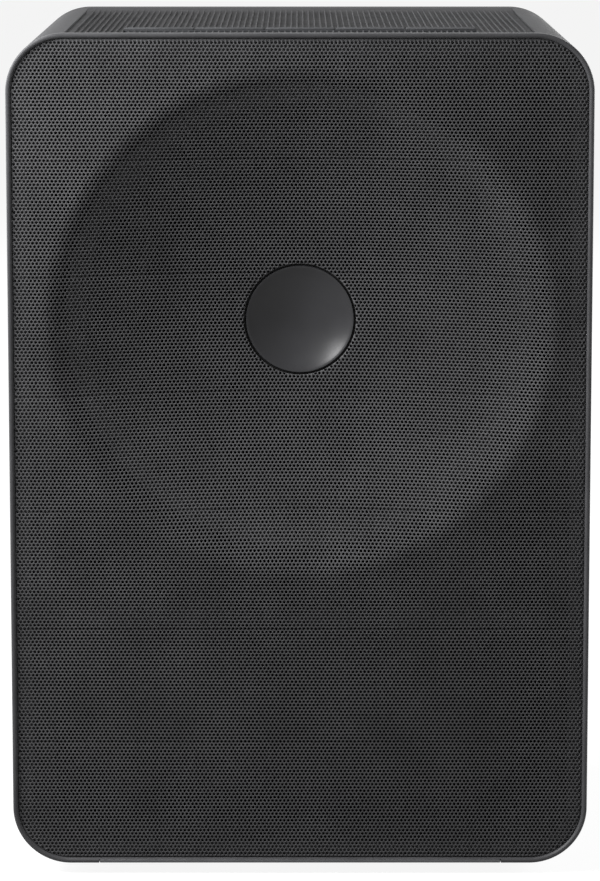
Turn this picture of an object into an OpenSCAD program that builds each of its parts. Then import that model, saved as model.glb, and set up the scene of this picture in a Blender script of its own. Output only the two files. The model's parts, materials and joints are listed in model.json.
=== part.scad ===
// Compact wireless subwoofer: a ported box with a dished, perforated front grille.
// X runs across the front, +Y towards the rear, +Z up; the origin is on the floor below the centre.
// "Depth" below always means the distance behind the front face.

/* [Body] */
// Width of the cabinet
body_w = 250; // [238:1:320]
// Height of the cabinet without its feet
body_h = 362; // [345:1:460]
// Depth from the front frame to the rear cover
body_d = 210; // [195:1:300]
// Radius of the four long edges
corner_r = 25; // [20:1:34]
// Thickness of the cabinet walls
wall_t = 7; // [5:0.5:8]
// Height of the rubber feet
foot_h = 5; // [3:0.5:8]
// Radius of the rubber feet
foot_r = 11; // [8:0.5:15]

/* [Front frame and grille] */
// Width of the frame round the grille, seen from the front
bezel_w = 2.3; // [1.8:0.1:4]
// Length of the frame that shows on the sides and the top
frame_d = 5; // [4.2:0.2:8]
// Chamfer on the frame's front edge
frame_edge = 0.8; // [0.3:0.1:1.5]
// How far the grille sheet lies behind the frame's front
sheet_front = 1.2; // [0.6:0.1:2]
// Thickness of the grille sheet
sheet_t = 1; // [0.6:0.1:1.5]
// Diameter of the dish pressed into the grille
dish_d = 216; // [160:1:218]
// Depth of the dish
dish_depth = 20; // [10:0.5:28]
// Distance from the cabinet's top to the centre of the dish and the driver
dish_drop = 125; // [120:1:140]
// Diameter of the cup in the middle of the dish
cap_d = 47; // [30:1:60]
// Depth of the hollow in that cup
cap_depth = 7; // [3:0.5:10]
// Width of the light trim under the grille
trim_w = 175; // [100:1:190]
// Height of that trim
trim_h = 1.7; // [1:0.1:1.8]

/* [Top panel] */
// Distance between the ribs of the top panel
rib_pitch = 2.57; // [2:0.01:5]
// Width of one rib
rib_w = 0.65; // [0.4:0.05:1.2]
// Height of one rib
rib_h = 0.9; // [0.4:0.1:1.5]
// Width of the segmented bar across the ribs
bar_w = 151; // [100:1:180]
// Depth of that bar, front to back
bar_d = 11; // [6:0.5:20]
// Distance of that bar behind the front face
bar_setback = 21; // [12:0.5:40]
// How far the bar stands above the ribs
bar_proud = 0.6; // [0.2:0.1:1.5]
// Segments of the bar
bar_segments = 5; // [2:1:9]

/* [Driver] */
// Outer diameter of the driver's flange
driver_d = 204; // [190:1:210]
// Radius of the voice coil former, outside
coil_r = 19.2; // [15:0.1:22]
// Radius of the magnet
magnet_r = 55; // [45:1:60]
// Thickness of the magnet
magnet_t = 18; // [12:1:26]
// Space between the deepest point of the dish and the baffle
baffle_clear = 12.8; // [11:0.2:25]
// Thickness of the baffle
baffle_t = 12; // [9:0.5:18]
// Travel of the cone, each way
cone_travel = 6; // [3:0.5:8]

/* [Rear] */
// Thickness of the rear cover
rear_t = 14; // [12:0.5:18]
// Rounding of the rear cover's edge
rear_round = 6; // [2:0.5:8]
// Inner radius of the bass port
port_r = 25; // [18:0.5:26]
// Radius of the port's outer flange
flare_r = 42; // [38:0.5:44]
// Height of the port's centre above the cabinet's underside
port_rise = 85; // [70:1:90]
// Width of the amplifier plate
amp_w = 120; // [110:1:122]
// Height of the amplifier plate
amp_h = 150; // [135:1:160]
// Thickness of the amplifier plate
amp_t = 2; // [1.5:0.1:2.5]
// How far the amplifier plate lies in from the rear cover's face
amp_sink = 1.5; // [1:0.1:2.5]
// Space between the amplifier plate and its circuit board
board_space = 13; // [12:0.5:16]
// Radius of the pairing button
button_r = 3.6; // [3:0.1:5]
// Travel of the pairing button
button_travel = 0.6; // [0.3:0.1:0.8]

/* [Hidden] */
$fn = 96;

// Clearances
fit = 0.2;      // between pieces that slide together when they are assembled
snug = 0.05;    // round a screw's thread, a bonded tube or a pressed bush
eps = 0.01;     // thickness of the slabs that a hull joins

// Places
front_y = -body_d / 2;
body_top = foot_h + body_h;
mid_z = foot_h + body_h / 2;
axis_z = body_top - dish_drop;

// Front frame: the seat carries the sheet, the land behind it carries the grille's own frame
sheet_back = sheet_front + sheet_t;
seat_in = wall_t + 2;
land_in = wall_t + 11;
plug_end = frame_d + 7;
trim_d = frame_d - 1;
peg_in = (seat_in + land_in) / 2;
peg_r = 2;
peg_end = plug_end + 2;
grommet_r = 3.5;
grommet_wall = 1.4;
peg_span_x = body_w / 2 - 60;
peg_span_z = body_h / 2 - 60;
peg_places = [
    for (sx = [-1, 1], k = [-1, 0, 1]) [sx * (body_w / 2 - peg_in), mid_z + k * peg_span_z],
    for (sx = [-1, 1], sz = [-1, 1]) [sx * peg_span_x, mid_z + sz * (body_h / 2 - peg_in)]
];
stiffener_h = 8;
stiffener_z = axis_z - dish_d / 2 - 20;

// Dish and cup: both are parts of spheres that are centred in front of the sheet
dish_r = dish_d / 2;
dish_ball = (dish_r * dish_r + dish_depth * dish_depth) / (2 * dish_depth);
dish_bottom = sheet_front + dish_depth;
dish_centre = dish_bottom - dish_ball;
cup_r = cap_d / 2;
cup_hole_r = cup_r + 0.8;
cup_lip = 0.6;
cup_wall = 1.5;
cup_skirt = 5;
cup_front = dish_centre + sqrt(dish_ball * dish_ball - cup_hole_r * cup_hole_r) + 0.4;
cup_rim_r = cup_r - cup_lip;
cup_ball = (cup_rim_r * cup_rim_r + cap_depth * cap_depth) / (2 * cap_depth);
cup_centre = cup_front + cap_depth - cup_ball;
retainer_wall = 5.5;
retainer_t = 3;
retainer_front = dish_centre + sqrt(pow(dish_ball + sheet_t, 2) - cup_r * cup_r) + snug;

// Top panel
panel_w = body_w - 2 * corner_r;
panel_t = 2.1;
panel_start = frame_d;
shell_end = body_d - rear_t;
panel_end = shell_end - 6;
rib_end = panel_end - 6;
rib_count = floor((panel_w - rib_pitch) / rib_pitch);
panel_top = body_top - rib_h;
bar_notch = 0.9;

// Baffle and driver
baffle_front = dish_bottom + baffle_clear;
baffle_back = baffle_front + baffle_t;
batten_w = 12;
batten_d = 10;
gasket_t = 1.5;
flange_t = 2.5;
flange_r = driver_d / 2;
cutout_r = flange_r - 9.5;
driver_screw_r = flange_r - 4.7;
driver_screw_count = 8;
flange_front = baffle_front - gasket_t - flange_t;
skin_t = 1;
roll_r = cone_travel + skin_t;
roll_centre = flange_r - 21;
cone_r = roll_centre - roll_r - 0.5;
cone_neck_r = coil_r + snug;
cone_wall = 1.2;
cone_depth = 34;
cone_back = flange_front + cone_depth;
shelf = flange_front + 46;
shelf_r = 62;
shelf_in = 56;
basket_wall = 2;
basket_back = flange_front + 65;
basket_foot_r = magnet_r - 1;
throat_r = coil_r + 2.2;
front_plate_t = 6;
magnet_front = basket_back + front_plate_t;
magnet_back = magnet_front + magnet_t;
back_plate_t = 6;
pole_r = coil_r - 1.3;
dome_r = coil_r + 4.8;
dome_h = 10;
dome_ball = (dome_r * dome_r + dome_h * dome_h) / (2 * dome_h);
cone_slope = (cone_depth - cone_wall) / (cone_r - cone_neck_r);
dome_base = flange_front + (cone_r - dome_r) * cone_slope - 0.1;
coil_len = front_plate_t + cone_travel;
coil_end = magnet_front + 4;

// Rear: port, amplifier and its board
port_wall = 2;
flare_round = flare_r - 5 - port_r;
port_x = -(body_w / 2 - 11 - flare_r);
port_z = foot_h + port_rise;
port_start = baffle_back + 30;
port_end = body_d - flare_round - 0.4;
flare_flange_t = 3;
socket_len = 14;
amp_x = body_w / 2 - wall_t - batten_w - 2 - amp_w / 2;
amp_z = foot_h + 28 + amp_h / 2;
amp_land = 8;
plate_out = body_d - amp_sink;
plate_in = plate_out - amp_t;
board_back = plate_in - board_space;
board_t = 1.6;
board_front = board_back - board_t;
board_w = amp_w - 2 * amp_land - 4;
board_h = amp_h - 2 * amp_land - 6;
board_x = board_w / 2 - 5;
board_z = board_h / 2 - 5;
board_corners = [for (sx = [-1, 1], sz = [-1, 1]) [amp_x + sx * board_x, amp_z + sz * board_z]];
screw_in = wall_t + batten_w / 2;
screw_span_z = body_h / 2 - 40;
side_screws = [
    for (sx = [-1, 1], k = [-1, 0, 1]) [sx * (body_w / 2 - screw_in), mid_z + k * screw_span_z]
];
end_screws = [for (sz = [-1, 1]) [0, mid_z + sz * (body_h / 2 - screw_in)]];
amp_screw_places = [
    for (sx = [-1, 1], k = [-1, 0, 1])
        [amp_x + sx * (amp_w - amp_land) / 2, amp_z + k * (amp_h - amp_land) / 2]
];

// Controls along the bottom of the amplifier plate
control_z = amp_z - board_z + 12;
inlet_x = amp_x + 34;
button_x = amp_x + 2;
led_x = amp_x - 16;
inlet_w = 20.6;
inlet_h = 12.6;
socket_w = 16;
socket_h = 8;
socket_d = 11.5;
pin_r = 1.2;
pin_gap = 8.6;
switch_h = 3.5;
plunger_r = 1.7;
plunger_in = 0.8;
plunger_out = 1.4;
button_flange_t = 1.2;
light_r = 1.5;

// Driver terminals, wires, brace, pads and feet
terminal_z = axis_z - shelf_r - basket_wall - 0.1;
tag_gap = 16;
tag_len = 8;
wire_r = 1.2;
connector_x = amp_x - 24;
connector_z = amp_z + board_z - 10;
connector_h = 8;
brace_t = 10;
brace_top = axis_z - flange_r + 6;
brace_end = body_d - 60;
pad_t = 12;
pad_start = baffle_back + batten_d + 4;
pad_end = shell_end - 20;
foot_x = body_w / 2 - 30;
foot_places = [for (sx = [-1, 1], d = [32, body_d - 32]) [sx * foot_x, front_y + d]];

// Colours
charcoal = [0.13, 0.13, 0.14];
dark = [0.06, 0.06, 0.065];
steel = [0.55, 0.56, 0.58];
paper = [0.09, 0.09, 0.09];
board_green = [0.08, 0.25, 0.14];
wood = [0.45, 0.36, 0.26];

// A rectangle with round corners, made of squares and circles
module rounded_rect(w, h, r) {
    square([w - 2 * r, h], center = true);
    square([w, h - 2 * r], center = true);
    for (sx = [-1, 1], sz = [-1, 1])
        translate([sx * (w / 2 - r), sz * (h / 2 - r)])
            circle(r = r);
}

// The cabinet's outline, drawn in by inset, from one depth to another
module slab(inset, from, to) {
    translate([0, front_y + to, mid_z])
        rotate([90, 0, 0])
            linear_extrude(to - from)
                rounded_rect(body_w - 2 * inset, body_h - 2 * inset, corner_r - inset);
}

module ring(outer_in, inner_in, from, to) {
    translate([0, front_y + to, mid_z])
        rotate([90, 0, 0])
            linear_extrude(to - from)
                difference() {
                    rounded_rect(body_w - 2 * outer_in, body_h - 2 * outer_in, corner_r - outer_in);
                    rounded_rect(body_w - 2 * inner_in, body_h - 2 * inner_in, corner_r - inner_in);
                }
}

// A box centred on x and z, from one depth to another
module block(x, z, w, h, from, to) {
    translate([x - w / 2, front_y + from, z - h / 2])
        cube([w, to - from, h]);
}

// Children's +Z points to the rear, starting at a depth
module rearward(x, z, depth) {
    translate([x, front_y + depth, z])
        rotate([-90, 0, 0])
            children();
}

// Children's +Z points to the front, starting at a depth
module forward(x, z, depth) {
    translate([x, front_y + depth, z])
        rotate([90, 0, 0])
            children();
}

module on_axis(depth = 0) {
    rearward(0, axis_z, depth) children();
}

module tube(outer_r, inner_r, len) {
    rotate_extrude()
        translate([inner_r, 0])
            square([outer_r - inner_r, len]);
}

// A cross-head screw: the head lies below z = 0 and the shaft above it
module screw(head_r, head_h, shaft_r, shaft_len) {
    difference() {
        union() {
            translate([0, 0, -head_h])
                cylinder(r = head_r, h = head_h);
            cylinder(r = shaft_r, h = shaft_len);
        }
        for (turn = [0, 90])
            rotate([0, 0, turn])
                translate([-head_r * 0.6, -head_r * 0.12, -head_h - 1])
                    cube([head_r * 1.2, head_r * 0.24, 1 + head_h * 0.6]);
    }
}

module front_frame() {
    color(charcoal)
        difference() {
            union() {
                hull() {
                    slab(frame_edge, 0, eps);
                    slab(0, frame_edge, frame_edge + eps);
                }
                slab(0, frame_edge, frame_d);
                slab(wall_t + fit, frame_d - eps, plug_end);
            }
            slab(bezel_w, -1, sheet_back);
            slab(seat_in, sheet_back - eps, frame_d);
            slab(land_in, frame_d - eps, plug_end + 1);
            block(0, foot_h + trim_h / 2 - 0.5, trim_w + 2 * fit, trim_h + 1, -1, trim_d);
            for (p = peg_places)
                rearward(p[0], p[1], frame_d - 1)
                    cylinder(r = grommet_r + snug, h = plug_end - frame_d + 2);
        }
}

module lower_trim() {
    color([0.3, 0.3, 0.31])
        translate([0, front_y, foot_h])
            rotate([90, 0, 90])
                linear_extrude(trim_w, center = true)
                    polygon([
                        [0, frame_edge], [frame_edge, 0], [trim_d, 0],
                        [trim_d, trim_h], [0, trim_h]
                    ]);
}

module cabinet_shell() {
    color(charcoal)
        difference() {
            slab(0, frame_d, shell_end);
            slab(wall_t, frame_d - 1, baffle_back);
            slab(wall_t + batten_w, baffle_back - 1, shell_end + 1);
            slab(wall_t, baffle_back + batten_d, shell_end - batten_d);
            block(0, body_top, panel_w + 2 * fit, 2 * (panel_t + rib_h), frame_d - 1, panel_end + fit);
            for (p = side_screws)
                rearward(p[0], p[1], baffle_back - 1)
                    cylinder(r = 1.8 + snug, h = batten_d - 1);
            for (p = concat(side_screws, end_screws))
                forward(p[0], p[1], shell_end + 1)
                    cylinder(r = 1.8 + snug, h = batten_d - 1);
            for (p = foot_places)
                translate([p[0], p[1], foot_h - 1])
                    cylinder(r = 1.9 + snug, h = wall_t);
        }
}

module top_panel() {
    color(dark)
        difference() {
            union() {
                translate([0, front_y + panel_end, panel_top - panel_t])
                    rotate([90, 0, 0])
                        linear_extrude(panel_end - panel_start)
                            translate([-panel_w / 2, 0])
                                square([panel_w, panel_t]);
                translate([0, front_y + rib_end, panel_top - eps])
                    rotate([90, 0, 0])
                        linear_extrude(rib_end - panel_start)
                            for (i = [0:rib_count - 1])
                                translate([(i - (rib_count - 1) / 2) * rib_pitch - rib_w / 2, 0])
                                    square([rib_w, rib_h + eps]);
            }
            translate([-bar_w / 2 - fit, front_y + bar_setback - fit, panel_top])
                cube([bar_w + 2 * fit, bar_d + 2 * fit, rib_h + 1]);
        }
}

module top_bar() {
    segment_w = bar_w / bar_segments;
    color([0.16, 0.16, 0.17])
        difference() {
            translate([-bar_w / 2, front_y + bar_setback, panel_top])
                cube([bar_w, bar_d, rib_h + bar_proud]);
            for (i = [1:bar_segments - 1])
                translate([-bar_w / 2 + i * segment_w - bar_notch / 2, front_y, panel_top + rib_h])
                    cube([bar_notch, body_d, bar_proud + 1]);
        }
}

module grille_sheet() {
    sheet_in = bezel_w + fit;
    color([0.2, 0.2, 0.21])
        difference() {
            union() {
                slab(sheet_in, sheet_front, sheet_back);
                on_axis()
                    intersection() {
                        translate([0, 0, dish_centre])
                            sphere(r = dish_ball + sheet_t);
                        translate([0, 0, sheet_front])
                            cylinder(r = dish_r + 2, h = dish_depth + 2 * sheet_t);
                    }
            }
            on_axis()
                translate([0, 0, dish_centre])
                    sphere(r = dish_ball);
            on_axis(sheet_front)
                cylinder(r = cup_hole_r, h = dish_depth + 5);
        }
}

module grille_frame() {
    color(dark) {
        difference() {
            union() {
                ring(seat_in + fit, land_in, sheet_back, frame_d - eps);
                block(0, stiffener_z, body_w - 2 * land_in + 2, stiffener_h, sheet_back, frame_d - eps);
            }
            on_axis()
                cylinder(r = dish_r + 1.5, h = body_d);
        }
        for (p = peg_places)
            rearward(p[0], p[1], frame_d - 1)
                cylinder(r = peg_r, h = peg_end - frame_d + 1);
    }
}

module grille_grommets() {
    color([0.03, 0.03, 0.03])
        for (p = peg_places)
            rearward(p[0], p[1], frame_d + snug)
                tube(grommet_r, grommet_r - grommet_wall, plug_end - frame_d - snug);
}

module grille_cup() {
    color([0.12, 0.12, 0.13])
        on_axis()
            difference() {
                union() {
                    intersection() {
                        translate([0, 0, cup_centre])
                            sphere(r = cup_ball + cup_wall);
                        translate([0, 0, cup_front + 1])
                            cylinder(r = cup_r - 1, h = cap_depth + cup_wall);
                    }
                    translate([0, 0, cup_front])
                        cylinder(r = cup_r, h = cup_skirt);
                }
                translate([0, 0, cup_centre])
                    sphere(r = cup_ball);
            }
}

module cup_retainer() {
    color(dark)
        on_axis(retainer_front)
            tube(cup_r + retainer_wall, cup_r + snug, retainer_t);
}

module baffle() {
    color(wood)
        difference() {
            slab(wall_t + fit, baffle_front, baffle_back - snug);
            on_axis(baffle_front - 1) {
                cylinder(r = cutout_r, h = baffle_t + 2);
                driver_screw_places()
                    cylinder(r = 1.9 + snug, h = baffle_t - 1);
            }
            for (p = side_screws)
                rearward(p[0], p[1], baffle_front - 1)
                    cylinder(r = 2.1, h = baffle_t + 2);
        }
}

module baffle_screws() {
    color(steel)
        for (p = side_screws)
            rearward(p[0], p[1], baffle_front - snug)
                screw(3.8, 2, 1.8, baffle_t + 7);
}

module driver_screw_places() {
    for (i = [0:driver_screw_count - 1])
        rotate([0, 0, (i + 0.5) * 360 / driver_screw_count])
            translate([driver_screw_r, 0, 0])
                children();
}

module driver_gasket() {
    color([0.04, 0.04, 0.04])
        on_axis(flange_front + flange_t)
            difference() {
                tube(flange_r - 0.5, cutout_r + 1, gasket_t);
                translate([0, 0, -1])
                    driver_screw_places()
                        cylinder(r = 2.3, h = gasket_t + 2);
            }
}

module driver_basket() {
    window_w = 50;
    wall_mid = flange_front + 22;
    color([0.1, 0.1, 0.1])
        on_axis()
            difference() {
                rotate_extrude()
                    polygon([
                        [flange_r, flange_front], [flange_r, flange_front + flange_t],
                        [flange_r - 10.2, flange_front + flange_t], [flange_r - 12.8, wall_mid],
                        [shelf_r + basket_wall, shelf - 1.5], [shelf_r + basket_wall, shelf + 3],
                        [basket_foot_r, basket_back - 3], [basket_foot_r, basket_back],
                        [throat_r, basket_back], [throat_r, basket_back - 3],
                        [basket_foot_r - 2.5, basket_back - 3], [shelf_in, shelf + 3],
                        [shelf_in, shelf], [shelf_r, shelf],
                        [shelf_r, shelf - 2.8], [flange_r - 15, wall_mid - 0.8],
                        [flange_r - 12.6, flange_front + 4], [flange_r - 12.6, flange_front]
                    ]);
                translate([0, 0, flange_front - 1])
                    driver_screw_places()
                        cylinder(r = 2.2, h = flange_t + 2);
                for (i = [0:5])
                    rotate([0, 0, i * 60])
                        translate([shelf_r - 8, -window_w / 2, wall_mid + 3])
                            cube([60, window_w, shelf - wall_mid - 7]);
            }
}

module driver_surround() {
    lip_out = flange_r - 9;
    color([0.04, 0.04, 0.04])
        on_axis(flange_front)
            rotate_extrude() {
                translate([roll_centre, 0])
                    intersection() {
                        difference() {
                            circle(r = roll_r);
                            circle(r = roll_r - skin_t);
                        }
                        translate([-2 * roll_r, -2 * roll_r])
                            square([4 * roll_r, 2 * roll_r]);
                    }
                translate([roll_centre + roll_r - skin_t, -skin_t])
                    square([lip_out - roll_centre - roll_r + skin_t, skin_t]);
                translate([roll_centre - roll_r - 4, -skin_t])
                    square([4 + skin_t, skin_t]);
            }
}

module driver_cone() {
    color(paper)
        on_axis()
            rotate_extrude()
                polygon([
                    [cone_r, flange_front + snug], [cone_r, flange_front + cone_wall],
                    [cone_neck_r, cone_back], [cone_neck_r, cone_back - cone_wall]
                ]);
}

module dust_cap() {
    color([0.07, 0.07, 0.07])
        on_axis()
            intersection() {
                translate([0, 0, dome_base - dome_h + dome_ball])
                    difference() {
                        sphere(r = dome_ball);
                        sphere(r = dome_ball - 0.8);
                    }
                translate([0, 0, dome_base - dome_h - 1])
                    cylinder(r = dome_r + 1, h = dome_h + 1);
            }
}

module coil_former() {
    former_start = cone_back - 4;
    color([0.7, 0.62, 0.45])
        on_axis(former_start)
            tube(coil_r, coil_r - 0.6, coil_end - former_start);
}

module voice_coil() {
    color([0.72, 0.42, 0.22])
        on_axis(coil_end - coil_len)
            tube(coil_r + 1.4, coil_r + snug, coil_len);
}

module spider() {
    wave_count = 5;
    wave_h = 1.2;
    steps = 8 * wave_count;
    wave_in = coil_r + 3;
    wave_out = shelf_in - 1;
    web_t = 0.6;
    top = shelf - web_t - snug;
    wave = [
        for (i = [0:steps])
            [wave_in + (wave_out - wave_in) * i / steps, top + wave_h * sin(360 * wave_count * i / steps)]
    ];
    front_side = concat([[coil_r + snug, top]], wave, [[shelf_r - fit, top]]);
    count = len(front_side);
    back_side = [for (i = [1:count]) front_side[count - i] + [0, web_t]];
    color([0.6, 0.45, 0.2])
        on_axis()
            rotate_extrude()
                polygon(concat(front_side, back_side));
}

module front_plate() {
    color(steel)
        on_axis(basket_back)
            tube(magnet_r - 4, throat_r, front_plate_t);
}

module magnet() {
    color([0.15, 0.15, 0.16])
        on_axis(magnet_front)
            tube(magnet_r, throat_r + 5, magnet_t);
}

module back_plate() {
    vent_r = 6;
    color(steel)
        on_axis()
            difference() {
                union() {
                    translate([0, 0, magnet_back])
                        cylinder(r = magnet_r - 4, h = back_plate_t);
                    translate([0, 0, basket_back])
                        cylinder(r = pole_r, h = magnet_back - basket_back + 1);
                }
                translate([0, 0, basket_back - 1])
                    cylinder(r = vent_r, h = body_d);
            }
}

module driver_screws() {
    color(steel)
        on_axis(flange_front - snug)
            driver_screw_places()
                screw(3.6, 2.2, 1.9, flange_t + gasket_t + baffle_t - 4);
}

module driver_terminals() {
    plate_t = 3;
    tag_mid = shelf + 1;
    color([0.75, 0.65, 0.3]) {
        block(0, terminal_z - plate_t / 2, tag_gap + 10, plate_t, tag_mid - 2, tag_mid + 2);
        for (sx = [-1, 1])
            block(
                sx * tag_gap / 2, terminal_z - plate_t - tag_len / 2 + 0.5,
                3, tag_len + 1, tag_mid - 0.4, tag_mid + 0.4
            );
    }
}

// The tube's inner end rolls outwards, so that air turns in smoothly
module port_tube() {
    roll = 5;
    color(dark)
        rearward(port_x, port_z, port_start)
            rotate_extrude() {
                translate([port_r, roll])
                    square([port_wall, port_end - port_start - roll - snug]);
                translate([port_r + roll, roll])
                    intersection() {
                        difference() {
                            circle(r = roll);
                            circle(r = roll - port_wall);
                        }
                        translate([-2 * roll, -2 * roll])
                            square([2 * roll, 2 * roll + eps]);
                    }
            }
}

// A trumpet mouth: a quarter circle from the tube's bore out to the flange
module port_flare() {
    mouth_r = port_r + flare_round;
    neck = body_d - flare_round;
    color(dark)
        rearward(port_x, port_z, 0)
            rotate_extrude() {
                intersection() {
                    translate([mouth_r, neck])
                        circle(r = flare_round);
                    translate([port_r - 1, neck])
                        square([flare_round + 1, flare_round]);
                }
                translate([mouth_r - eps, body_d - flare_flange_t])
                    square([flare_r - mouth_r + eps, flare_flange_t]);
                translate([port_r + port_wall + snug, neck - socket_len])
                    square([2.4, socket_len + eps]);
            }
}

module rear_cover() {
    rounding_steps = 4;
    color(charcoal)
        difference() {
            hull() {
                slab(0, shell_end, body_d - rear_round);
                for (k = [1:rounding_steps])
                    slab(
                        rear_round * (1 - cos(90 * k / rounding_steps)),
                        body_d - rear_round,
                        body_d - rear_round + rear_round * sin(90 * k / rounding_steps)
                    );
            }
            rearward(port_x, port_z, shell_end - 1)
                cylinder(r = port_r + flare_round + fit, h = rear_t + 2);
            rearward(port_x, port_z, body_d - flare_flange_t)
                cylinder(r = flare_r + fit, h = flare_flange_t + 1);
            block(amp_x, amp_z, amp_w + 2 * fit, amp_h + 2 * fit, plate_in, body_d + 1);
            block(
                amp_x, amp_z, amp_w - 2 * amp_land, amp_h - 2 * amp_land,
                shell_end - 1, body_d
            );
            for (p = concat(side_screws, end_screws)) {
                rearward(p[0], p[1], shell_end - 1)
                    cylinder(r = 2.1, h = rear_t + 2);
                rearward(p[0], p[1], body_d - 2)
                    cylinder(r = 4, h = 3);
            }
            for (p = amp_screw_places)
                rearward(p[0], p[1], shell_end + 1)
                    cylinder(r = 1.4 + snug, h = rear_t);
        }
}

module rear_screws() {
    color(steel)
        for (p = concat(side_screws, end_screws))
            forward(p[0], p[1], body_d - 2 + snug)
                screw(3.6, 1.8, 1.8, rear_t + batten_d - 6);
}

module amp_plate() {
    color([0.1, 0.1, 0.105])
        difference() {
            block(amp_x, amp_z, amp_w, amp_h, plate_in + snug, plate_out);
            block(
                inlet_x, control_z, inlet_w + 2 * fit, inlet_h + 2 * fit,
                plate_in - 1, plate_out + 1
            );
            rearward(button_x, control_z, plate_in - 1)
                cylinder(r = button_r + fit, h = amp_t + 2);
            rearward(led_x, control_z, plate_in - 1)
                cylinder(r = light_r + fit, h = amp_t + 2);
            for (p = amp_screw_places)
                rearward(p[0], p[1], plate_in - 1)
                    cylinder(r = 1.6, h = amp_t + 2);
            for (p = board_corners)
                rearward(p[0], p[1], plate_in - 1)
                    cylinder(r = 1.5 + snug, h = amp_t + 2);
        }
}

module amp_screws() {
    color([0.2, 0.2, 0.2])
        for (p = amp_screw_places)
            forward(p[0], p[1], plate_out + snug)
                screw(2.8, 1.3, 1.4, rear_t - amp_sink - 3);
}

module amp_board() {
    color(board_green)
        difference() {
            block(amp_x, amp_z, board_w, board_h, board_front, board_back);
            for (p = board_corners)
                rearward(p[0], p[1], board_front - 1)
                    cylinder(r = 1.6, h = board_t + 2);
        }
}

// Each standoff is riveted into the amplifier plate by the stub on its end
module board_standoffs() {
    color([0.75, 0.7, 0.5])
        for (p = board_corners)
            rearward(p[0], p[1], board_back)
                difference() {
                    union() {
                        cylinder(r = 3, h = board_space);
                        cylinder(r = 1.5, h = board_space + amp_t - 0.2);
                    }
                    translate([0, 0, -1])
                        cylinder(r = 1.25 + snug, h = board_space - 2);
                }
}

module board_screws() {
    color(steel)
        for (p = board_corners)
            rearward(p[0], p[1], board_front - snug)
                screw(2.5, 1.5, 1.25, board_t + 7);
}

module transformer() {
    core_w = 42;
    core_h = 34;
    core_t = 26;
    color([0.3, 0.27, 0.2])
        translate([amp_x - 22, 0, amp_z - 32]) {
            block(0, 0, core_w, core_h, board_front - core_t, board_front - 2);
            block(0, 0, core_w - 14, core_h + 8, board_front - core_t + 4, board_front);
        }
}

module capacitors() {
    can_r = 9;
    can_h = 30;
    color([0.12, 0.12, 0.2])
        for (x = [amp_x + 12, amp_x + 34])
            forward(x, amp_z - 8, board_front)
                cylinder(r = can_r, h = can_h);
}

module amp_chip() {
    color([0.05, 0.05, 0.05])
        block(amp_x - 20, amp_z + 22, 22, 16, board_front - 4, board_front);
}

module heatsink() {
    base_t = 4;
    fin_h = 18;
    fin_t = 1.6;
    fin_count = 7;
    sink_w = 44;
    sink_h = 30;
    base_front = board_front - 4 - base_t;
    color(steel) {
        block(amp_x - 20, amp_z + 22, sink_w, sink_h, base_front, board_front - 4);
        for (i = [0:fin_count - 1])
            block(
                amp_x - 20 + (i / (fin_count - 1) - 0.5) * (sink_w - fin_t), amp_z + 22,
                fin_t, sink_h, base_front - fin_h, base_front + eps
            );
    }
}

module wireless_module() {
    color([0.1, 0.2, 0.3]) {
        block(amp_x + 28, amp_z + 30, 30, 20, board_front - 1, board_front);
        block(amp_x + 25, amp_z + 30, 20, 16, board_front - 3, board_front - 1 + eps);
    }
}

module power_inlet() {
    mouth = plate_out + 0.3;
    color([0.05, 0.05, 0.05])
        difference() {
            block(inlet_x, control_z, inlet_w, inlet_h, board_back, mouth);
            rearward(inlet_x, control_z, mouth - socket_d)
                linear_extrude(socket_d + 1) {
                    square([socket_w - socket_h, socket_h], center = true);
                    for (sx = [-1, 1])
                        translate([sx * (socket_w - socket_h) / 2, 0])
                            circle(r = socket_h / 2);
                }
            for (sx = [-1, 1])
                rearward(inlet_x + sx * pin_gap / 2, control_z, mouth - socket_d - 2)
                    cylinder(r = pin_r, h = 3);
        }
}

module inlet_pins() {
    root = plate_out + 0.3 - socket_d - 2;
    color(steel)
        for (sx = [-1, 1])
            rearward(inlet_x + sx * pin_gap / 2, control_z, root)
                cylinder(r = pin_r, h = socket_d - 0.5);
}

module pairing_button() {
    flange_back = plate_in - 0.3;
    stem_root = board_back + switch_h + plunger_out;
    color([0.2, 0.2, 0.2]) {
        rearward(button_x, control_z, flange_back - eps)
            cylinder(r = button_r, h = plate_out + 0.5 - flange_back);
        rearward(button_x, control_z, flange_back - button_flange_t)
            cylinder(r = button_r + 1.2, h = button_flange_t);
        rearward(button_x, control_z, stem_root)
            cylinder(r = plunger_r, h = flange_back - stem_root - eps);
    }
}

module switch_plunger() {
    color([0.7, 0.2, 0.15])
        rearward(button_x, control_z, board_back + switch_h - plunger_in)
            cylinder(r = plunger_r, h = plunger_in + plunger_out);
}

module tact_switch() {
    color([0.3, 0.3, 0.32])
        difference() {
            block(button_x, control_z, 6, 6, board_back, board_back + switch_h);
            rearward(button_x, control_z, board_back + switch_h - plunger_in - button_travel - 0.3)
                cylinder(r = plunger_r + 0.1, h = switch_h);
        }
}

module led_chip() {
    color([0.9, 0.9, 0.8])
        block(led_x, control_z, 3, 3, board_back, board_back + 1.2);
}

module light_pipe() {
    color([0.8, 0.85, 0.9])
        rearward(led_x, control_z, board_back + 1.2) {
            cylinder(r = light_r, h = plate_out - board_back - 1.2 + 0.2);
            cylinder(r = light_r + 1.2, h = 2);
        }
}

module wire_connector() {
    color([0.85, 0.85, 0.8])
        block(connector_x, connector_z, 12, 8, board_front - connector_h, board_front);
}

// A point on the smooth curve that four control points set
function curve_point(a, b, c, d, t) =
    pow(1 - t, 3) * a + 3 * pow(1 - t, 2) * t * b + 3 * (1 - t) * t * t * c + t * t * t * d;

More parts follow.
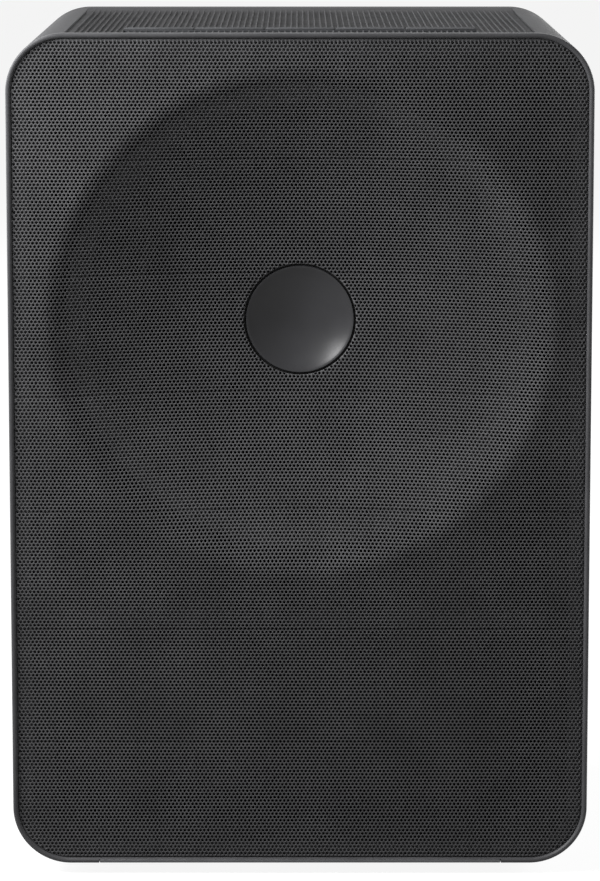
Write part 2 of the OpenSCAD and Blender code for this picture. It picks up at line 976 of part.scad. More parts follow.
// A round tube along a path that stays close to the YZ plane
module swept_tube(path, r, sides) {
    count = len(path);
    points = [
        for (i = [0:count - 1])
            let (
                along = path[min(i + 1, count - 1)] - path[max(i - 1, 0)],
                ahead = along / norm(along),
                side = cross(ahead, [1, 0, 0]),
                up = side / norm(side),
                across = cross(up, ahead)
            )
            for (k = [0:sides - 1])
                path[i] + r * (cos(360 * k / sides) * across + sin(360 * k / sides) * up)
    ];
    walls = [
        for (i = [0:count - 2], k = [0:sides - 1])
            let (n = (k + 1) % sides)
            [i * sides + k, i * sides + n, (i + 1) * sides + n, (i + 1) * sides + k]
    ];
    first = [for (k = [0:sides - 1]) sides - 1 - k];
    last = [for (k = [0:sides - 1]) (count - 1) * sides + k];
    polyhedron(points, concat([first], walls, [last]));
}

// Two wires hang from the driver's tags and run back over the brace to the connector
module speaker_wires() {
    tag_depth = shelf + 1;
    ring_count = 22;
    rear_z = connector_z;
    wire_gap = 0.4;
    tag_end = terminal_z - 3 - tag_len;
    color([0.5, 0.1, 0.1])
        for (sx = [-1, 1]) {
            start = [sx * tag_gap / 2, front_y + tag_depth, tag_end - wire_gap];
            finish = [connector_x + sx * 3, front_y + board_front - connector_h - wire_gap, rear_z];
            swept_tube(
                [
                    for (i = [0:ring_count])
                        curve_point(
                            start, start - [0, 0, 6], finish - [0, 55, 0], finish, i / ring_count
                        )
                ],
                wire_r, 8
            );
        }
}

// A board with one large window ties the side walls together below the driver
module cabinet_brace() {
    rail = 26;
    from = baffle_back + batten_d;
    color(wood)
        difference() {
            block(0, brace_top - brace_t / 2, body_w - 2 * wall_t - 2 * fit, brace_t, from, brace_end);
            block(
                0, brace_top - brace_t / 2, body_w - 2 * wall_t - 2 * rail, brace_t + 2,
                from + rail, brace_end - rail
            );
        }
}

module damping_pads() {
    pad_h = 150;
    inner_top = body_top - wall_t;
    color([0.75, 0.75, 0.72]) {
        block(0, inner_top - pad_t / 2, panel_w - 20, pad_t, pad_start, pad_end);
        for (sx = [-1, 1])
            block(
                sx * (body_w / 2 - wall_t - pad_t / 2), axis_z, pad_t, pad_h,
                pad_start, pad_end
            );
    }
}

module rubber_feet() {
    taper = 1.2;
    bore = 2.2;
    sink_r = 4.6;
    sink_d = foot_h / 2;
    color([0.03, 0.03, 0.03])
        for (p = foot_places)
            translate([p[0], p[1], 0])
                rotate_extrude()
                    polygon([
                        [sink_r, 0], [foot_r - taper, 0], [foot_r, taper],
                        [foot_r, foot_h], [bore, foot_h], [bore, sink_d], [sink_r, sink_d]
                    ]);
}

module foot_screws() {
    color(steel)
        for (p = foot_places)
            translate([p[0], p[1], foot_h / 2 - snug])
                screw(3.9, 1.6, 1.9, foot_h / 2 + wall_t - 1.5);
}

front_frame();
lower_trim();
cabinet_shell();
top_panel();
top_bar();
grille_sheet();
grille_frame();
grille_grommets();
grille_cup();
cup_retainer();
baffle();
baffle_screws();
driver_gasket();
driver_basket();
driver_surround();
driver_cone();
dust_cap();
coil_former();
voice_coil();
spider();
front_plate();
magnet();
back_plate();
driver_screws();
driver_terminals();
port_tube();
port_flare();
rear_cover();
rear_screws();
amp_plate();
amp_screws();
amp_board();
board_standoffs();
board_screws();
transformer();
capacitors();
amp_chip();
heatsink();
wireless_module();
power_inlet();
inlet_pins();
pairing_button();
switch_plunger();
tact_switch();
led_chip();
light_pipe();
wire_connector();
speaker_wires();
cabinet_brace();
damping_pads();
rubber_feet();
foot_screws();
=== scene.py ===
import json
import math

import bpy
import numpy as np
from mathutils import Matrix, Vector


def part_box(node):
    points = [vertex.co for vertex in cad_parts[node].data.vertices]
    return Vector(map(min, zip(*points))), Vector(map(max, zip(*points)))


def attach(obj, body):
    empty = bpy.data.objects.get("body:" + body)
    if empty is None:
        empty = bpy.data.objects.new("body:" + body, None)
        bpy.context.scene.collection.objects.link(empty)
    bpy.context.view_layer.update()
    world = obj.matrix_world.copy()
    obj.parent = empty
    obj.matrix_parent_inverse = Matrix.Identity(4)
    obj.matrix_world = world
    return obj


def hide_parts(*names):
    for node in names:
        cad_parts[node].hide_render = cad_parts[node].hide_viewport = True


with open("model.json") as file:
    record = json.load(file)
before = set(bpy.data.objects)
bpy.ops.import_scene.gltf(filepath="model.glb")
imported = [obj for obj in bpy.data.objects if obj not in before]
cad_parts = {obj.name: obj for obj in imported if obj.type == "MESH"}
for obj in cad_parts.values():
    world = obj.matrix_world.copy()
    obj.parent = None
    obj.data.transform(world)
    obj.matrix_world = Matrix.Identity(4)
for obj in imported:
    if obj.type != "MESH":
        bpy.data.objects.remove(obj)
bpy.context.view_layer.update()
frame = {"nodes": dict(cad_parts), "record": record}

MM = 0.001
TINY = 1e-9


# ---------------------------------------------------------------- places, in millimetres
# Depths are measured from the frame's front face, and insets from the cabinet's outline.

def node_box(node):
    """Lowest and highest corner of a CAD node, in millimetres."""
    low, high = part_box(node)
    return np.array(low) / MM, np.array(high) / MM


frame_low, frame_high = node_box("front_frame")
shell_low, _ = node_box("cabinet_shell")
panel_low, panel_high = node_box("top_panel")
bar_low, bar_high = node_box("top_bar")
trim_low, trim_high = node_box("lower_trim")
sheet_low, _ = node_box("grille_sheet")
cup_low, cup_high = node_box("grille_cup")

BODY_W = frame_high[0] - frame_low[0]
BODY_H = frame_high[2] - frame_low[2]
FRONT_Y = frame_low[1]
BODY_TOP = frame_high[2]
MID_Z = (frame_low[2] + frame_high[2]) / 2
CORNER_R = 25.0
WALL = 7.0
FIT = 0.2

BEZEL_W = 2.3
FRAME_END = shell_low[1] - FRONT_Y
PLUG_END = frame_high[1] - FRONT_Y

SHEET_FRONT = 1.2
SHEET_T = 1.0
SHEET_BACK = SHEET_FRONT + SHEET_T
SHEET_IN = sheet_low[0] - frame_low[0]

DISH_R = 108.0
DISH_DEPTH = 20.0
DISH_BALL = (DISH_R ** 2 + DISH_DEPTH ** 2) / (2 * DISH_DEPTH)
DISH_CENTRE = SHEET_FRONT + DISH_DEPTH - DISH_BALL
DISH_REACH = 0.8 * DISH_BALL
DISH_LIP = 1.3

CUP_R = (cup_high[0] - cup_low[0]) / 2
CUP_HOLE_R = CUP_R + 0.8
CUP_FRONT = cup_low[1] - FRONT_Y
CUP_END = cup_high[1] - FRONT_Y
CUP_DEPTH = 7.0
CUP_EDGE = 0.6
CUP_SIDE = 5.0                      # length of the straight side
CUP_STEP, CUP_TAPER = 1.5, 8.0      # how far the back is drawn in where it begins and ends
CUP_STEPS = 28
AXIS_Z = (cup_low[2] + cup_high[2]) / 2


# ---------------------------------------------------------------- meshes

def in_scene(name, data):
    """A new object that carries data, linked to the scene."""
    thing = bpy.data.objects.new(name, data)
    bpy.context.scene.collection.objects.link(thing)
    return thing


def new_piece(name, points, faces, slot, sharp=35):
    """A smooth-shaded mesh piece from points in millimetres, riding on the cabinet. Edges sharper
    than the angle sharp, in degrees, stay sharp."""
    mesh = bpy.data.meshes.new(name)
    mesh.from_pydata([tuple(np.array(p) * MM) for p in points], [], faces)
    mesh.validate()
    piece = in_scene(name, mesh)
    mesh.materials.append(materials[slot])
    mesh.shade_smooth()
    mesh.set_sharp_from_angle(angle=math.radians(sharp))
    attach(piece, "cabinet")
    return piece


def outline(inset, segments):
    """The cabinet's outline drawn in by inset, as x and z, counter-clockwise from the right side."""
    radius = CORNER_R - inset
    reach_x, reach_z = BODY_W / 2 - CORNER_R, BODY_H / 2 - CORNER_R
    points = []
    for corner, (sx, sz) in enumerate([(1, 1), (-1, 1), (-1, -1), (1, -1)]):
        for i in range(segments + 1):
            angle = math.radians(90 * corner + 90 * i / segments)
            points.append((sx * reach_x + radius * math.cos(angle),
                           MID_Z + sz * reach_z + radius * math.sin(angle)))
    return points


def swept_ring(profile, segments):
    """A closed profile of (inset, depth) swept round the cabinet's outline."""
    points, faces = [], []
    count = len(outline(0, segments))
    for inset, depth in profile:
        points += [(x, FRONT_Y + depth, z) for x, z in outline(inset, segments)]
    rows = len(profile)
    for i in range(rows):
        j = (i + 1) % rows
        for k in range(count):
            n = (k + 1) % count
            faces.append((j * count + k, j * count + n, i * count + n, i * count + k))
    return points, faces


def lathe(profile, x, z, segments=128):
    """A profile of (radius, depth) turned round a front-to-back axis. Radius 0 closes it."""
    points, faces, rings = [], [], []
    for radius, depth in profile:
        start = len(points)
        if radius == 0:
            points.append((x, FRONT_Y + depth, z))
            rings.append([start] * segments)
        else:
            for k in range(segments):
                angle = 2 * math.pi * k / segments
                points.append((x + radius * math.cos(angle), FRONT_Y + depth,
                               z + radius * math.sin(angle)))
            rings.append(list(range(start, start + segments)))
    for ring, following in zip(rings, rings[1:]):
        for k in range(segments):
            n = (k + 1) % segments
            corners = [ring[k], ring[n], following[n], following[k]]
            faces.append(tuple(dict.fromkeys(corners)))
    return points, faces


def arc(centre, radius, start, end, steps):
    """Points of an arc in the profile's plane, angles in degrees."""
    angles = [math.radians(start + (end - start) * i / steps) for i in range(steps + 1)]
    return [(centre[0] + radius * math.cos(a), centre[1] + radius * math.sin(a)) for a in angles]


def smoothstep(t):
    """Rises from 0 to 1 with level ends."""
    t = np.clip(t, 0, 1)
    return t * t * (3 - 2 * t)


def cut(piece, low, high):
    """Takes a box, in millimetres, out of a piece."""
    corners = [(x, y, z) for x in (low[0], high[0])
               for y in (low[1], high[1]) for z in (low[2], high[2])]
    sides = [(0, 1, 3, 2), (4, 6, 7, 5), (0, 4, 5, 1), (2, 3, 7, 6), (0, 2, 6, 4), (1, 5, 7, 3)]
    mesh = bpy.data.meshes.new("cutter")
    mesh.from_pydata([tuple(np.array(c) * MM) for c in corners], [], sides)
    cutter = in_scene("cutter", mesh)
    modifier = piece.modifiers.new("cut", "BOOLEAN")
    modifier.operation = "DIFFERENCE"
    modifier.solver = "EXACT"
    modifier.object = cutter
    shape = piece.evaluated_get(bpy.context.evaluated_depsgraph_get())
    piece.data = bpy.data.meshes.new_from_object(shape)
    piece.modifiers.clear()
    bpy.data.objects.remove(cutter)


# ---------------------------------------------------------------- materials

NOISE_LOW, NOISE_HIGH = 0.3, 0.7


def tinted(colour, factor):
    """A colour made lighter or darker by a factor, with full alpha."""
    return tuple(min(1.0, c * factor) for c in colour[:3]) + (1.0,)


def finish_material(name, colour, roughness, metallic=0.0, variation=0.12, patch=60.0,
                    grain=1800.0, bump=0.02, rough_spread=0.06, specular=0.5, stretch=(1, 1, 1)):
    """Two scales of noise: patch sets slow changes of colour and roughness, and grain the relief,
    whose height is bump in millimetres. Both scales are in cycles per metre."""
    mat = bpy.data.materials.new(name)
    mat.use_nodes = True
    nodes, links = mat.node_tree.nodes, mat.node_tree.links
    shader = nodes["Principled BSDF"]
    shader.inputs["Metallic"].default_value = metallic
    shader.inputs["Specular IOR Level"].default_value = specular

    place = nodes.new("ShaderNodeTexCoord")
    mapping = nodes.new("ShaderNodeMapping")
    mapping.inputs["Scale"].default_value = stretch
    links.new(place.outputs["Object"], mapping.inputs["Vector"])

    slow = nodes.new("ShaderNodeTexNoise")
    slow.inputs["Scale"].default_value = patch
    slow.inputs["Detail"].default_value = 4
    links.new(mapping.outputs["Vector"], slow.inputs["Vector"])
    shade = nodes.new("ShaderNodeValToRGB")
    shade.color_ramp.elements[0].position = NOISE_LOW
    shade.color_ramp.elements[1].position = NOISE_HIGH
    shade.color_ramp.elements[0].color = tinted(colour, 1 - variation)
    shade.color_ramp.elements[1].color = tinted(colour, 1 + variation)
    links.new(slow.outputs["Fac"], shade.inputs["Fac"])
    links.new(shade.outputs["Color"], shader.inputs["Base Color"])

    rough = nodes.new("ShaderNodeMapRange")
    rough.inputs["From Min"].default_value = NOISE_LOW
    rough.inputs["From Max"].default_value = NOISE_HIGH
    rough.inputs["To Min"].default_value = roughness - rough_spread
    rough.inputs["To Max"].default_value = roughness + rough_spread
    links.new(slow.outputs["Fac"], rough.inputs["Value"])
    links.new(rough.outputs["Result"], shader.inputs["Roughness"])

    fine = nodes.new("ShaderNodeTexNoise")
    fine.inputs["Scale"].default_value = grain
    fine.inputs["Detail"].default_value = 2
    links.new(mapping.outputs["Vector"], fine.inputs["Vector"])
    relief = nodes.new("ShaderNodeBump")
    relief.inputs["Strength"].default_value = 1.0
    relief.inputs["Distance"].default_value = bump * MM
    links.new(fine.outputs["Fac"], relief.inputs["Height"])
    links.new(relief.outputs["Normal"], shader.inputs["Normal"])
    return mat


# One finish for each material slot of the record
FINISHES = {
    # outside, front and top
    "frame": dict(colour=(0.050, 0.050, 0.053), roughness=0.50, specular=0.25,
                  grain=2400, bump=0.010),
    "trim": dict(colour=(0.085, 0.087, 0.092), roughness=0.40, metallic=0.3,
                 grain=1600, bump=0.008),
    "housing": dict(colour=(0.028, 0.028, 0.030), roughness=0.58, specular=0.08,
                    grain=1500, bump=0.030, variation=0.03, patch=400, rough_spread=0.02),
    "top_ribs": dict(colour=(0.030, 0.030, 0.032), roughness=0.60, specular=0.03,
                     grain=2200, bump=0.010, variation=0.05),
    "top_bar": dict(colour=(0.050, 0.051, 0.054), roughness=0.65, specular=0.02,
                    grain=2200, bump=0.008),
    "grille": dict(colour=(0.082, 0.082, 0.085), roughness=0.44, specular=0.06,
                   grain=1400, bump=0.008, patch=45),
    "cup": dict(colour=(0.020, 0.020, 0.022), roughness=0.36, specular=0.3,
                grain=2600, bump=0.006),
    # outside, rear and underside
    "amp_paint": dict(colour=(0.018, 0.018, 0.020), roughness=0.50, specular=0.25,
                      grain=1300, bump=0.035, variation=0.05, patch=300),
    "black_screws": dict(colour=(0.040, 0.040, 0.042), roughness=0.38, metallic=0.7,
                         grain=2600, bump=0.006),
    "button": dict(colour=(0.060, 0.060, 0.063), roughness=0.38, grain=2600, bump=0.008),
    "light": dict(colour=(0.75, 0.80, 0.85), roughness=0.20, grain=900, bump=0.004,
                  variation=0.05),
    "rubber": dict(colour=(0.015, 0.015, 0.015), roughness=0.75, grain=2500, bump=0.030),
    # behind the grille
    "inner_plastic": dict(colour=(0.006, 0.006, 0.006), roughness=0.60, specular=0.1,
                          grain=1800, bump=0.015),
    "board_wood": dict(colour=(0.30, 0.20, 0.12), roughness=0.80, grain=700, bump=0.060,
                       variation=0.25, stretch=(1, 1, 4)),
    "board_black": dict(colour=(0.006, 0.006, 0.006), roughness=0.9, specular=0.1,
                        grain=900, bump=0.040),
    "cone_paper": dict(colour=(0.015, 0.015, 0.015), roughness=0.85, specular=0.15,
                       grain=900, bump=0.080, variation=0.3),
    "basket": dict(colour=(0.028, 0.028, 0.029), roughness=0.45, grain=1200, bump=0.015),
    "former": dict(colour=(0.50, 0.45, 0.35), roughness=0.40, metallic=0.6,
                   grain=2500, bump=0.005),
    "copper": dict(colour=(0.62, 0.30, 0.14), roughness=0.35, metallic=0.9,
                   grain=3000, bump=0.060, stretch=(0.05, 1, 0.05)),
    "spider_cloth": dict(colour=(0.45, 0.30, 0.12), roughness=0.85, grain=2600, bump=0.080,
                         variation=0.2),
    "zinc_steel": dict(colour=(0.50, 0.50, 0.52), roughness=0.38, metallic=1.0,
                       grain=2200, bump=0.006),
    "ferrite": dict(colour=(0.060, 0.060, 0.065), roughness=0.60, grain=1500, bump=0.040,
                    variation=0.25),
    # electronics and lining
    "circuit": dict(colour=(0.03, 0.12, 0.06), roughness=0.45, grain=900, bump=0.020,
                    variation=0.3),
    "standoff": dict(colour=(0.70, 0.58, 0.32), roughness=0.35, metallic=1.0,
                     grain=2400, bump=0.005),
    "winding": dict(colour=(0.22, 0.20, 0.16), roughness=0.50, metallic=0.4,
                    grain=1500, bump=0.040, stretch=(1, 1, 0.1)),
    "can": dict(colour=(0.05, 0.06, 0.14), roughness=0.35, grain=1500, bump=0.010),
    "wire": dict(colour=(0.30, 0.03, 0.03), roughness=0.45, grain=1800, bump=0.010),
    "wadding": dict(colour=(0.55, 0.55, 0.52), roughness=0.95, grain=500, bump=0.800,
                    variation=0.2),
}
materials = {slot: finish_material("mat_" + slot, **look) for slot, look in FINISHES.items()}
# The holes' walls get a near-black finish, far darker than the sheet they are cut in: painted shade,
# so that the holes look dark inside.
painted_shade_hole_material = finish_material("mat_grille_holes_painted_shade", (0.004, 0.004, 0.004), 0.9, specular=0.05,
                                grain=1400, bump=0.004)

for part in frame["record"]["subparts"]:
    node = frame["nodes"][part["node"]]
    node.data.materials.clear()
    node.data.materials.append(materials[part["material_slot"]])


# ---------------------------------------------------------------- perforated grille
# The sheet is a honeycomb of six-sided cells, each with a six-sided hole. Cell centres and corners
# have whole-number keys, in half pitches across and half cell radii up.

HOLE_PITCH = 1.702
HOLE_SHARE = 0.70
HEXAGON_REACH = 1.07    # a hole's corner radius over the radius of the round hole it stands for
HOLE_MARGIN = 0.06      # sheet left between a hole and the sheet's edges
CELL_R = HOLE_PITCH / math.sqrt(3)
CELL_MARGIN = 0.1 * HOLE_PITCH
CELL_CORNERS = np.array([(1, 1), (0, 2), (-1, 1), (-1, -1), (0, -2), (1, -1)])
SLOPE_STEP = 0.05
GRILLE_BANDS = 7
HOLE_WALLS, BACK_FACE = 1, 2
MAP_EDGE = 0.005
MAP_HALF = 0.49


def edge_distance(x, z):
    """Distance from the grille's outline, negative inside, and the nearest point on the outline."""
    reach_x = BODY_W / 2 - CORNER_R
    reach_z = BODY_H / 2 - CORNER_R
    radius = CORNER_R - SHEET_IN
    over_x, over_z = np.abs(x) - reach_x, np.abs(z - MID_Z) - reach_z
    in_corner = (over_x > 0) & (over_z > 0)
    to_corner = np.maximum(np.hypot(over_x, over_z), TINY)
    distance = np.where(in_corner, to_corner, np.maximum(over_x, over_z)) - radius
    side = over_x > over_z
    near_x = np.where(in_corner, reach_x + over_x / to_corner * radius,
                      np.where(side, reach_x + radius, np.abs(x)))
    near_z = np.where(in_corner, reach_z + over_z / to_corner * radius,
                      np.where(side, np.abs(z - MID_Z), reach_z + radius))
    return distance, np.sign(x) * near_x, MID_Z + np.sign(z - MID_Z) * near_z


def dish_depth(x, z):
    """Depth of the sheet's front face, with a soft lip round the dish."""
    r2 = np.minimum(x ** 2 + (z - AXIS_Z) ** 2, DISH_REACH ** 2)
    ball = DISH_CENTRE + np.sqrt(DISH_BALL ** 2 - r2)
    share = np.clip(0.5 + 0.5 * (ball - SHEET_FRONT) / DISH_LIP, 0, 1)
    return SHEET_FRONT + (ball - SHEET_FRONT) * share + DISH_LIP * share * (1 - share)


def kept_inside(x, z):
    """Moves points that lie past the sheet's outline or inside the cup's hole to just inside the
    sheet's edges."""
    distance, near_x, near_z = edge_distance(x, z)
    out = distance > -HOLE_MARGIN
    dx, dz = x - near_x, z - near_z
    length = np.maximum(np.hypot(dx, dz), TINY)
    inward = np.where(distance < 0, 1.0, -1.0)
    x = np.where(out, near_x + inward * dx / length * HOLE_MARGIN, x)
    z = np.where(out, near_z + inward * dz / length * HOLE_MARGIN, z)
    r = np.maximum(np.hypot(x, z - AXIS_Z), TINY)
    least = CUP_HOLE_R + HOLE_MARGIN
    grow = np.where(r < least, least / r, 1.0)
    return x * grow, AXIS_Z + (z - AXIS_Z) * grow


def onto_edges(x, z):
    """Moves points to the nearest of the sheet's outline and the cup's hole."""
    distance, near_x, near_z = edge_distance(x, z)
    r = np.hypot(x, z - AXIS_Z)
    at_cup = np.abs(r - CUP_HOLE_R) < np.abs(distance)
    grow = CUP_HOLE_R / np.maximum(r, TINY)
    return (np.where(at_cup, x * grow, near_x),
            np.where(at_cup, AXIS_Z + (z - AXIS_Z) * grow, near_z))


def in_space(x, z):
    """Front and back points of the sheet over x and z: the back lies along the surface's normal."""
    step = SLOPE_STEP
    depth = dish_depth(x, z)
    slope_x = (dish_depth(x + step, z) - dish_depth(x - step, z)) / (2 * step)
    slope_z = (dish_depth(x, z + step) - dish_depth(x, z - step)) / (2 * step)
    length = np.sqrt(1 + slope_x ** 2 + slope_z ** 2)
    front = np.stack([x, FRONT_Y + depth, z], axis=-1)
    normal = np.stack([-slope_x, np.ones_like(x), -slope_z], axis=-1)
    return front, front + SHEET_T * normal / length[..., None]


def grille_cells():
    """Keys of the cells whose centres lie on the sheet."""
    rows = int(BODY_H / (1.5 * CELL_R) / 2) + 1
    columns = int(BODY_W / HOLE_PITCH / 2) + 1
    i, j = np.meshgrid(np.arange(-rows, rows + 1), np.arange(-columns, columns + 1), indexing="ij")
    cells = np.stack([2 * j + i % 2, 3 * i], axis=-1).reshape(-1, 2)
    x, z = cells[:, 0] * HOLE_PITCH / 2, MID_Z + cells[:, 1] * CELL_R / 2
    distance, _, _ = edge_distance(x, z)
    off_cup = np.hypot(x, z - AXIS_Z) > CUP_HOLE_R + CELL_MARGIN
    return cells[(distance < -CELL_MARGIN) & off_cup]


def corner_keys(cells):
    """Keys of the six corners of each cell, one row per corner."""
    return (cells[:, None, :] + CELL_CORNERS[None]).reshape(-1, 2)


def grille_band(name, cells, rim):
    """A watertight piece of the sheet from some of its cells. rim marks, for each cell's six
    corners, those that lie on the sheet's edges."""
    keys, corner = np.unique(corner_keys(cells), axis=0, return_inverse=True)
    corner = corner.reshape(-1, 6)
    on_rim = np.zeros(len(keys), bool)
    on_rim[corner.ravel()] = rim.ravel()
    x, z = keys[:, 0] * HOLE_PITCH / 2, MID_Z + keys[:, 1] * CELL_R / 2
    rim_x, rim_z = onto_edges(x, z)
    corner_front, corner_back = in_space(np.where(on_rim, rim_x, x), np.where(on_rim, rim_z, z))

    hole_r = HOLE_SHARE * HOLE_PITCH / 2 * HEXAGON_REACH
    angles = np.radians(30 + 60 * np.arange(6))
    hole_x = cells[:, :1] * HOLE_PITCH / 2 + hole_r * np.cos(angles)
    hole_z = MID_Z + cells[:, 1:] * CELL_R / 2 + hole_r * np.sin(angles)
    hole_front, hole_back = in_space(*kept_inside(hole_x.ravel(), hole_z.ravel()))
    points = np.concatenate([corner_front, corner_back, hole_front, hole_back])

    # front face, holes' walls and back face, as one quad for each side of each cell
    n_corner, n_hole = len(keys), len(cells) * 6
    hole = 2 * n_corner + np.arange(n_hole).reshape(-1, 6)
    following = np.roll(np.arange(6), -1)
    c0, c1 = corner, corner[:, following]
    h0, h1 = hole, hole[:, following]
    quads = [np.stack([c0, c1, h1, h0], -1),
             np.stack([h0, h1, h1 + n_hole, h0 + n_hole], -1),
             np.stack([h0 + n_hole, h1 + n_hole, c1 + n_corner, c0 + n_corner], -1)]

    # edge walls, along the cells' sides that no other cell of the band shares
    sides = np.stack([c0.ravel(), c1.ravel()], -1)
    _, which, shared = np.unique(np.sort(sides, axis=1), axis=0, return_inverse=True,
                                 return_counts=True)
    open_sides = sides[shared[which.ravel()] == 1]
    start, end = open_sides[:, 0], open_sides[:, 1]
    quads.append(np.stack([end, start, start + n_corner, end + n_corner], -1))

    quads = [q.reshape(-1, 4) for q in quads]
    kind = np.concatenate([np.full(len(q), k) for k, q in enumerate(quads)])
    return quad_piece(name, points, np.concatenate(quads), kind)


def grille_pieces():
    """The sheet as level bands, from the foot to the top."""
    cells = grille_cells()
    _, index, uses = np.unique(corner_keys(cells), axis=0, return_inverse=True,
                               return_counts=True)
    rim = (uses[index.ravel()] < 3).reshape(-1, 6)
    order = np.sort(np.unique(cells[:, 1]))
    limits = order[np.linspace(0, len(order), GRILLE_BANDS + 1).astype(int)[1:-1]]
    band = np.searchsorted(limits, cells[:, 1], side="right")
    return [grille_band("grille_sheet_%d" % (b + 1), cells[band == b], rim[band == b])
            for b in range(GRILLE_BANDS)]


def quad_piece(name, points, quads, kind):
    """A mesh of quads with a flat map for baking: the back face has the upper half of the map, and
    all the rest the lower half. kind tells the holes' walls and the back face from the rest."""
    mesh = bpy.data.meshes.new(name)
    mesh.vertices.add(len(points))
    mesh.vertices.foreach_set("co", (points * MM).astype(np.float32).ravel())
    mesh.loops.add(quads.size)
    mesh.loops.foreach_set("vertex_index", quads.astype(np.int32).ravel())
    mesh.polygons.add(len(quads))
    mesh.polygons.foreach_set("loop_start", np.arange(0, quads.size, 4, dtype=np.int32))
    mesh.update(calc_edges=True)
    low, high = points.min(0), points.max(0)
    flat = (points[quads.ravel()] - low) / (high - low)
    flat_map = mesh.uv_layers.new(name="OFBake")
    half = np.where(np.repeat(kind == BACK_FACE, 4), 0.5, 0.0)
    uv = np.stack([MAP_EDGE + (1 - 2 * MAP_EDGE) * flat[:, 0],
                   MAP_EDGE + half + MAP_HALF * flat[:, 2]], axis=-1)
    flat_map.data.foreach_set("uv", uv.astype(np.float32).ravel())
    # The holes' walls take the near-black painted-shade material, and the rest takes the sheet's
    # finish.
    mesh.materials.append(materials["grille"])
    mesh.materials.append(painted_shade_hole_material)
    mesh.polygons.foreach_set("material_index", (kind == HOLE_WALLS).astype(np.int32))
    piece = in_scene(name, mesh)
    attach(piece, "cabinet")
    return piece


for piece in grille_pieces():
    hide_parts("grille_sheet")


# ---------------------------------------------------------------- frame and trim

OUTER_ROUND = 0.8
INNER_BEVEL = 0.75
BEVEL_RUN, BEVEL_RISE = 0.3, 0.1    # soften both ends of the inner bevel
JOINT_BEVEL = 0.3
SEAT_IN, LAND_IN = WALL + 2, WALL + 11
OUTLINE_STEPS = 32
TRIM_GAP = 0.1
TRIM_BEVEL = 0.25
TRIM_CORE = 0.5         # least distance from the section's middle that a bevel reckons with


def frame_profile():
    """The frame's section, from its joint with the cabinet round the front to the plug inside."""
    return (
        [(JOINT_BEVEL, FRAME_END), (0, FRAME_END - JOINT_BEVEL)]
        + arc((OUTER_ROUND, OUTER_ROUND), OUTER_ROUND, 180, 270, 6)
        + [(BEZEL_W - INNER_BEVEL - BEVEL_RUN, 0), (BEZEL_W - INNER_BEVEL, BEVEL_RISE),
           (BEZEL_W - BEVEL_RISE, INNER_BEVEL), (BEZEL_W, INNER_BEVEL + BEVEL_RUN),
           (BEZEL_W, SHEET_BACK), (SEAT_IN, SHEET_BACK), (SEAT_IN, FRAME_END),
           (LAND_IN, FRAME_END), (LAND_IN, PLUG_END), (WALL + FIT, PLUG_END),
           (WALL + FIT, FRAME_END)]
    )


def trim_strip():
    """The light strip: its section has a rounded front edge, and its two ends are bevelled."""
    low_z, high_z = trim_low[2], trim_high[2] - TRIM_GAP
    start, end = TRIM_GAP, trim_high[1] - FRONT_Y
    section = ([(end, low_z)]
               + arc((start + OUTER_ROUND, low_z + OUTER_ROUND), OUTER_ROUND, 270, 180, 5)
               + [(start, high_z - TRIM_BEVEL), (start + TRIM_BEVEL, high_z), (end, high_z)])
    centre = np.mean(section, axis=0)
    points, faces = [], []
    stations = [(trim_low[0], TRIM_BEVEL), (trim_low[0] + TRIM_BEVEL, 0.0),
                (trim_high[0] - TRIM_BEVEL, 0.0), (trim_high[0], TRIM_BEVEL)]
    for x, shrink in stations:
        for d, z in section:
            pull = shrink / max(abs(d - centre[0]), abs(z - centre[1]), TRIM_CORE)
            points.append((x, FRONT_Y + d + (centre[0] - d) * pull, z + (centre[1] - z) * pull))
    n = len(section)
    for s in range(len(stations) - 1):
        for k in range(n):
            m = (k + 1) % n
            faces.append((s * n + k, s * n + m, (s + 1) * n + m, (s + 1) * n + k))
    faces.append(tuple(range(n))[::-1])
    faces.append(tuple(range((len(stations) - 1) * n, len(stations) * n)))
    return points, faces


points, faces = swept_ring(frame_profile(), OUTLINE_STEPS)
frame_piece = new_piece("front_frame_moulding", points, faces, "frame")
cut(frame_piece, (trim_low[0] - FIT, FRONT_Y - 1, trim_low[2] - 1),
    (trim_high[0] + FIT, trim_high[1], trim_high[2]))
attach(frame_piece, "cabinet")
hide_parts("front_frame")

trim_piece = new_piece("lower_trim_strip", *trim_strip(), "trim")
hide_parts("lower_trim")


# ---------------------------------------------------------------- cup

def cup_profile():
    """The cup's section: the hollow from its middle outwards, the rounded rim, the side and the
    stepped back."""
    rim = CUP_R - CUP_EDGE
    ball = (rim ** 2 + CUP_DEPTH ** 2) / (2 * CUP_DEPTH)
    centre = CUP_FRONT + CUP_DEPTH - ball
    angles = np.linspace(0, math.degrees(math.asin(rim / ball)), CUP_STEPS)
    hollow = [(ball * math.sin(math.radians(a)), centre + ball * math.cos(math.radians(a)))
              for a in angles]
    hollow[0] = (0, hollow[0][1])
    side_end = CUP_FRONT + CUP_SIDE
    return hollow[:-1] + [(rim + 0.05, CUP_FRONT + 0.05), (rim + 0.3, CUP_FRONT + 0.02),
                          (CUP_R - 0.05, CUP_FRONT + 0.35), (CUP_R, CUP_FRONT + 0.7),
                          (CUP_R, side_end), (CUP_R - CUP_STEP, side_end),
                          (CUP_R - CUP_TAPER, CUP_END), (0, CUP_END)]


cup_piece = new_piece("centre_cup", *lathe(cup_profile(), 0, AXIS_Z), "cup")
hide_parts("grille_cup")


# ---------------------------------------------------------------- ribbed top

